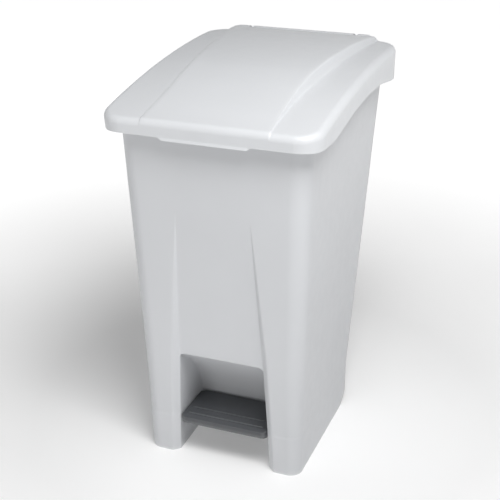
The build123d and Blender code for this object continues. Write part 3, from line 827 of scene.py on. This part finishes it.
def foot_plate():
    """Hollow foot plate with rounded edges."""
    half, front, rear = pedal_high[0] + plate_side, pedal_low[1], plate_rear
    top_round, depth = 1.6, 15.0
    verts, faces = [], []
    plate_rows = sorted([front + top_round + 12 * k / 14 for k in range(15)]
                        + [front + 18 + k * (rear - front - 18 - top_round) / 12 for k in range(13)])
    corner = plate_corner - top_round
    columns = 17
    for y in plate_rows:
        near = min(y - (front + top_round), (rear - top_round) - y)
        limit = half - top_round
        if near < corner:
            limit -= corner - math.sqrt(max(corner ** 2 - (corner - near) ** 2, 0))
        for j in range(columns):
            x = limit * math.sin(math.pi / 2 * j / (columns - 1))
            verts.append((x, y, pedal_top(y)))
    for i in range(len(plate_rows) - 1):
        for j in range(columns - 1):
            a = i * columns + j
            faces.append((a, a + 1, a + 1 + columns, a + columns))
    last = len(plate_rows) - 1
    edge = [(j, (0, -1)) for j in range(columns)]
    for i in range(1, last):
        index = i * columns + columns - 1
        x, y, _ = verts[index]
        cx, cy = half - plate_corner, np.clip(y, front + plate_corner, rear - plate_corner)
        away = Vector((max(x - cx, 0), y - cy))
        edge.append((index, tuple(away.normalized())))
    edge += [(last * columns + j, (0, 1)) for j in range(columns - 1, -1, -1)]
    previous = [index for index, _ in edge]
    rings = [(top_round * math.sin(math.radians(a)), top_round * (1 - math.cos(math.radians(a))))
             for a in (22, 45, 68, 90)]
    rings += [(top_round, 6), (top_round, depth)]
    for out, down in rings:
        current = []
        for index, (nx, ny) in edge:
            x, y, z = verts[index]
            low = 64 - 3 * (y - front) / (rear - front)
            height = z - down if down < depth else low
            current.append(len(verts))
            verts.append((x + nx * out, y + ny * out, max(height, low)))
        for k in range(len(edge) - 1):
            faces.append((previous[k], current[k], current[k + 1], previous[k + 1]))
        previous = current
    return mirrored_skin("foot_plate", verts, faces)


def grip_rib(y, half_length):
    """Low rounded rib across the foot plate."""
    half_width, height = 1.3, 1.4
    verts, faces = [], []
    levels = [(1.0, -1.0), (1.0, 0.3), (0.9, 0.85), (0.65, 1.2), (0.3, 1.38)]
    ring_count = 40
    base = pedal_top(y)
    for scale, up in levels:
        for k in range(ring_count):
            a = 2 * math.pi * k / ring_count
            end = math.copysign(half_length - half_width, math.cos(a))
            verts.append((end + half_width * scale * math.cos(a), y + half_width * scale * math.sin(a),
                          base + min(up, height)))
    for i in range(len(levels) - 1):
        for k in range(ring_count):
            m = (k + 1) % ring_count
            a, b = i * ring_count, (i + 1) * ring_count
            faces.append((a + k, a + m, b + m, b + k))
    top = (len(levels) - 1) * ring_count
    faces.append(tuple(range(top, top + ring_count)))
    faces.append(tuple(reversed(range(ring_count))))
    return new_mesh("rib", verts, faces)


def build_pedal():
    """The whole lever as one piece: foot plate, side arms, sleeve and rear arm."""
    lever = piece("lever", foot_plate())
    thicken(lever)
    parts = [lever.data, *[grip_rib(y, half_length) for y, half_length in rib_lines]]
    arm = closed_round([(-195, 72), (-112, 70), (-108, 63), (-98, 61),
                        (pedal_pivot[0] + 3, pedal_pivot[1] + 8.5),
                        (pedal_pivot[0], pedal_pivot[1] - 8.9), (-112, 48), (-195, 66)], 3)
    # a known fault: only the sleeve has a bore, so the axle runs through the arms, the rear arm and the web
    for x in (-arm_x, arm_x):
        parts.append(plate("arm", [arm], x - wall, x + wall, 0.8))
    half = arm_x + wall
    sleeve = [(-half, axle_bore), (-half, 8.4), (-half + 0.6, 9), (half - 0.6, 9), (half, 8.4),
              (half, axle_bore), (-half, axle_bore)]
    parts.append(lathe_x("sleeve", sleeve, pedal_pivot, 40))
    rear = [(pedal_pivot[0], pedal_pivot[1] + 8.9)]
    rear += ring(rod_pin, 7, 90, -90, 16)
    rear += [(pedal_pivot[0], pedal_pivot[1] - 8.9)]
    parts.append(plate("rear_arm", [rear, ring(rod_pin, 2.6, count=20)], *lug_x, 0.8))
    z = pedal_pivot[1]
    web = [(-45, -64), (30, -64), (0, 20), (-8, 20)]
    parts.append(slab("web", web, z - 3, z + 2))
    lever.data = merged("lever", parts)
    shade(lever.data, crisp_angle)
    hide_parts("pedal_lever")
    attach(lever, "pedal")
    return lever


# ---------------------------------------------------------------- materials

class Nodes:
    """Small helper that adds and joins shader nodes."""

    def __init__(self, name):
        self.material = bpy.data.materials.new(name)
        self.material.use_nodes = True
        self.tree = self.material.node_tree
        self.shader = self.tree.nodes["Principled BSDF"] if "Principled BSDF" in self.tree.nodes else None
        if self.shader is None:
            self.shader = self.tree.nodes.new("ShaderNodeBsdfPrincipled")
            out = self.tree.nodes.new("ShaderNodeOutputMaterial")
            self.tree.links.new(self.shader.outputs[0], out.inputs[0])

    def add(self, kind, **values):
        node = self.tree.nodes.new("ShaderNode" + kind)
        for key, value in values.items():
            if key in node.inputs:
                node.inputs[key].default_value = value
            else:
                setattr(node, key, value)
        return node

    def join(self, source, output, target, slot):
        self.tree.links.new(source.outputs[output], target.inputs[slot])

    def noise(self, scale, detail=2.0, stretch=(1, 1, 1)):
        """Noise in the object's own space, in cycles per metre."""
        place = self.add("TexCoord")
        spread = self.add("Mapping", Scale=stretch)
        noise = self.add("TexNoise", Scale=scale, Detail=detail)
        self.join(place, "Object", spread, "Vector")
        self.join(spread, "Vector", noise, "Vector")
        return noise

    def range(self, source, output, low, high, from_low=0.3, from_high=0.7):
        node = self.add("MapRange")
        node.inputs["From Min"].default_value = from_low
        node.inputs["From Max"].default_value = from_high
        node.inputs["To Min"].default_value = low
        node.inputs["To Max"].default_value = high
        self.join(source, output, node, "Value")
        return node

    def mix(self, factor, output, first, second):
        node = self.add("Mix", data_type="RGBA")
        node.inputs[6].default_value = (*first, 1)
        node.inputs[7].default_value = (*second, 1)
        self.tree.links.new(factor.outputs[output], node.inputs[0])
        return node


def moulded_plastic(name, colour, shade_colour, edge_highlight_colour, roughness, grain=1.0, specular=0.5):
    """Moulded plastic: faint cloudy colour, fine spark-eroded grain, a painted highlight that makes convex edges
    paler, and uneven gloss.
    """
    n = Nodes(name)
    clouds = n.noise(7, 3)
    cloud_share = n.range(clouds, "Fac", 0, 1)
    base = n.mix(cloud_share, "Result", colour, shade_colour)
    # painted highlight: convex edges, picked out by pointiness, are painted in a paler colour, as if light caught
    # them
    geometry = n.add("NewGeometry")
    edge = n.range(geometry, "Pointiness", 0, 1, 0.515, 0.56)
    edge_highlight = n.add("Mix", data_type="RGBA")
    n.tree.links.new(edge.outputs["Result"], edge_highlight.inputs[0])
    n.tree.links.new(base.outputs[2], edge_highlight.inputs[6])
    edge_highlight.inputs[7].default_value = (*edge_highlight_colour, 1)
    n.tree.links.new(edge_highlight.outputs[2], n.shader.inputs["Base Color"])
    gloss = n.noise(55, 4)
    gloss_range = n.range(gloss, "Fac", roughness - 0.05, roughness + 0.06)
    n.join(gloss_range, "Result", n.shader, "Roughness")
    fine = n.noise(1800, 2)
    wave = n.noise(30, 2)
    bump_fine = n.add("Bump", Strength=0.12 * grain, Distance=0.0001)
    bump_wave = n.add("Bump", Strength=0.1 * grain, Distance=0.0006)
    n.join(wave, "Fac", bump_wave, "Height")
    n.join(fine, "Fac", bump_fine, "Height")
    n.join(bump_wave, "Normal", bump_fine, "Normal")
    n.join(bump_fine, "Normal", n.shader, "Normal")
    n.shader.inputs["Specular IOR Level"].default_value = specular
    return n.material


def plated_steel(name):
    """Zinc-plated steel, drawn lengthwise, with a faint spangle."""
    n = Nodes(name)
    spangle = n.add("TexVoronoi", Scale=900)
    place = n.add("TexCoord")
    n.join(place, "Object", spangle, "Vector")
    share = n.range(spangle, "Distance", 0, 1, 0.0, 0.8)
    base = n.mix(share, "Result", (0.62, 0.63, 0.65), (0.5, 0.51, 0.54))
    n.tree.links.new(base.outputs[2], n.shader.inputs["Base Color"])
    streak = n.noise(900, 2, (0.05, 1, 1))
    rough = n.range(streak, "Fac", 0.22, 0.4)
    n.join(rough, "Result", n.shader, "Roughness")
    n.shader.inputs["Metallic"].default_value = 1
    bump = n.add("Bump", Strength=0.1, Distance=0.0001)
    n.join(streak, "Fac", bump, "Height")
    n.join(bump, "Normal", n.shader, "Normal")
    return n.material


def soft_rubber(name):
    """Matt grey rubber with a fine pitted surface."""
    n = Nodes(name)
    spots = n.noise(1400, 3)
    share = n.range(spots, "Fac", 0, 1)
    base = n.mix(share, "Result", (0.2, 0.2, 0.21), (0.15, 0.15, 0.16))
    n.tree.links.new(base.outputs[2], n.shader.inputs["Base Color"])
    bump = n.add("Bump", Strength=0.3, Distance=0.0001)
    n.join(spots, "Fac", bump, "Height")
    n.join(bump, "Normal", n.shader, "Normal")
    n.shader.inputs["Roughness"].default_value = 0.85
    return n.material


def paint(obj, material):
    """Gives the whole object one material."""
    obj.data.materials.clear()
    obj.data.materials.append(material)


# ---------------------------------------------------------------- the bin

tub = build_tub()
lid = build_lid()
lever = build_pedal()

# the third colour of each plastic is the painted highlight along its convex edges
paint(tub, moulded_plastic("white_body", (0.605, 0.615, 0.633), (0.59, 0.60, 0.618),
                           (0.68, 0.69, 0.70), 0.42))
paint(lid, moulded_plastic("white_lid", (0.625, 0.637, 0.655), (0.61, 0.622, 0.64),
                           (0.635, 0.645, 0.66), 0.38))
paint(lever, moulded_plastic("charcoal_pedal", (0.072, 0.076, 0.083), (0.064, 0.068, 0.074),
                             (0.125, 0.13, 0.135), 0.42, 1.6))

# the third colour of each plastic here is the painted highlight along its convex edges
finishes = {
    "zinc_steel": plated_steel("zinc_steel"),
    "black_cap": moulded_plastic("black_cap", (0.03, 0.03, 0.03), (0.022, 0.022, 0.022),
                                 (0.06, 0.06, 0.06), 0.4),
    "natural_nylon": moulded_plastic("natural_nylon", (0.7, 0.69, 0.63), (0.66, 0.65, 0.58),
                                     (0.74, 0.73, 0.69), 0.45),
    "white_pin": moulded_plastic("white_pin", (0.74, 0.745, 0.75), (0.71, 0.715, 0.72),
                                 (0.8, 0.8, 0.8), 0.4),
    "grey_rubber": soft_rubber("grey_rubber"),
    "black_wheel": moulded_plastic("black_wheel", (0.03, 0.03, 0.032), (0.02, 0.02, 0.022),
                                   (0.07, 0.07, 0.07), 0.5, 2.0),
}
for entry in frame["record"]["subparts"]:
    if entry["material_slot"] in finishes:
        paint(frame["nodes"][entry["node"]], finishes[entry["material_slot"]])


# ---------------------------------------------------------------- stage, lights and camera

def studio_floor():
    """Pale floor that the bin stands on. It glows faintly, and more so further out."""
    reach_mm = 30000
    corners = [(sx * reach_mm, sy * reach_mm, 0) for sx, sy in ((-1, -1), (1, -1), (1, 1), (-1, 1))]
    mesh = new_mesh("floor", corners, [(0, 1, 2, 3)])
    obj = piece("floor", mesh)
    n = Nodes("floor")
    grain = n.noise(3, 3)
    share = n.range(grain, "Fac", 0, 1)
    base = n.mix(share, "Result", (0.82, 0.82, 0.82), (0.80, 0.80, 0.80))
    n.tree.links.new(base.outputs[2], n.shader.inputs["Base Color"])
    n.shader.inputs["Roughness"].default_value = 0.9
    n.shader.inputs["Specular IOR Level"].default_value = 0.1
    place = n.add("TexCoord")
    reach = n.add("VectorMath", operation="LENGTH")
    n.join(place, "Object", reach, 0)
    glow = n.range(reach, "Value", 0.28, 1.05, 0.45, 1.55)
    n.join(glow, "Result", n.shader, "Emission Strength")
    n.tree.links.new(base.outputs[2], n.shader.inputs["Emission Color"])
    paint(obj, n.material)


def area_light(name, place, aim, size, power, spread=180):
    """Square soft light, with its beam's spread in degrees."""
    data = bpy.data.lights.new(name, "AREA")
    data.shape = "SQUARE"
    data.size = size
    data.energy = power
    obj = bpy.data.objects.new(name, data)
    bpy.context.scene.collection.objects.link(obj)
    obj.location = place
    obj.rotation_euler = (Vector(aim) - Vector(place)).to_track_quat("-Z", "Y").to_euler()
    obj.visible_camera = False
    data.spread = math.radians(spread)


def world_light(horizon, zenith):
    """White surroundings, bright near the horizon and dimmer overhead."""
    world = bpy.data.worlds.new("studio")
    world.use_nodes = True
    background = world.node_tree.nodes.get("Background") or world.node_tree.nodes.new("ShaderNodeBackground")
    out = world.node_tree.nodes.get("World Output") or world.node_tree.nodes.new("ShaderNodeOutputWorld")
    world.node_tree.links.new(background.outputs[0], out.inputs[0])
    background.inputs["Color"].default_value = (1, 1, 1, 1)
    place = world.node_tree.nodes.new("ShaderNodeTexCoord")
    parts = world.node_tree.nodes.new("ShaderNodeSeparateXYZ")
    fade = world.node_tree.nodes.new("ShaderNodeMapRange")
    for slot, value in (("From Min", 0.08), ("From Max", 0.24), ("To Min", horizon), ("To Max", zenith)):
        fade.inputs[slot].default_value = value
    world.node_tree.links.new(place.outputs["Generated"], parts.inputs[0])
    world.node_tree.links.new(parts.outputs["Z"], fade.inputs["Value"])
    world.node_tree.links.new(fade.outputs["Result"], background.inputs["Strength"])
    bpy.context.scene.world = world


def camera():
    """Camera at the viewing angle: turned to the right of the front, and looking down."""
    azimuth, elevation, roll = math.radians(22.111), math.radians(25.309), math.radians(-1.131)
    aim = Vector((0, -0.046, 0.350))
    right0 = Vector((math.cos(azimuth), math.sin(azimuth), 0))
    back = Vector((math.sin(azimuth) * math.cos(elevation), -math.cos(azimuth) * math.cos(elevation),
                   math.sin(elevation)))
    up0 = back.cross(right0)
    distance, left, rise = 2.04536, 0.0041764, 0.0040835
    location = aim + back * distance - right0 * left + up0 * rise
    right = right0 * math.cos(roll) + up0 * math.sin(roll)
    up = -right0 * math.sin(roll) + up0 * math.cos(roll)
    data = bpy.data.cameras.new("camera")
    data.sensor_width = 36
    data.lens = 80.78
    data.clip_end = 100
    obj = bpy.data.objects.new("camera", data)
    bpy.context.scene.collection.objects.link(obj)
    turn = Matrix((right, up, back)).transposed().to_4x4()
    obj.matrix_world = Matrix.Translation(location) @ turn
    bpy.context.scene.camera = obj


studio_floor()
world_light(0.85, 0.14)
area_light("key", (0.62, -0.7, 1.92), (0, -0.05, 0.55), 0.85, 30)
area_light("fill", (-0.18, -1.0, 0.22), (-0.03, -0.15, 0.1), 0.3, 0.09, 50)
camera()
bpy.context.scene.view_settings.view_transform = "Standard"
